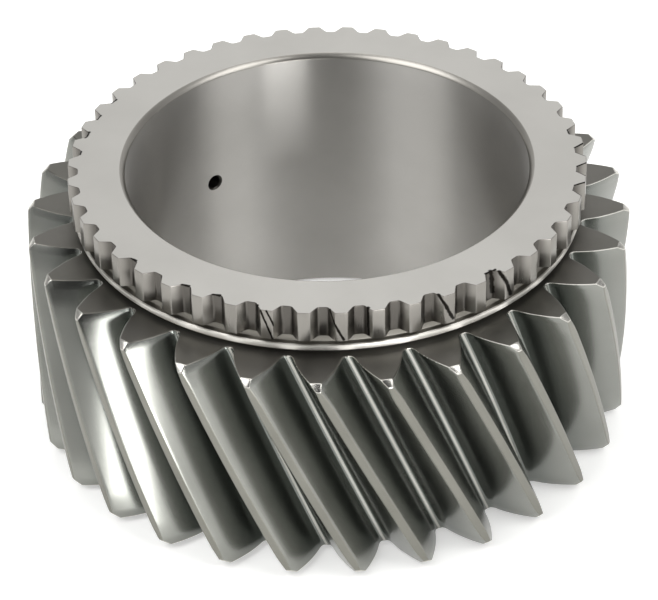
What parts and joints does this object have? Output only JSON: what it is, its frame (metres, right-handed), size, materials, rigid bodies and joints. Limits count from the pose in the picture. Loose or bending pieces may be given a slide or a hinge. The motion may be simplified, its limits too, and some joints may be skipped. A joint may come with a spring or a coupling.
{
  "type": "transmission gear",
  "caption": "Wide helical gear for a heavy gearbox, with a large plain bore, a ring of straight clutch teeth on one side, a narrow collar below it and a radial oil hole.",
  "frame": {"origin": "centre of the lower thrust face, on the axis of the bore", "axes": "+Z along the bore axis, from the lower thrust face towards the clutch teeth"},
  "size_m": [0.1472, 0.1472, 0.0705],
  "materials": {
    "steel": "case-hardened steel: ground faces and bore, satin hobbed and shaved helical flanks, shaped clutch teeth"
  },
  "bodies": {
    "root": {"gear": "steel"}
  },
  "joints": []
}
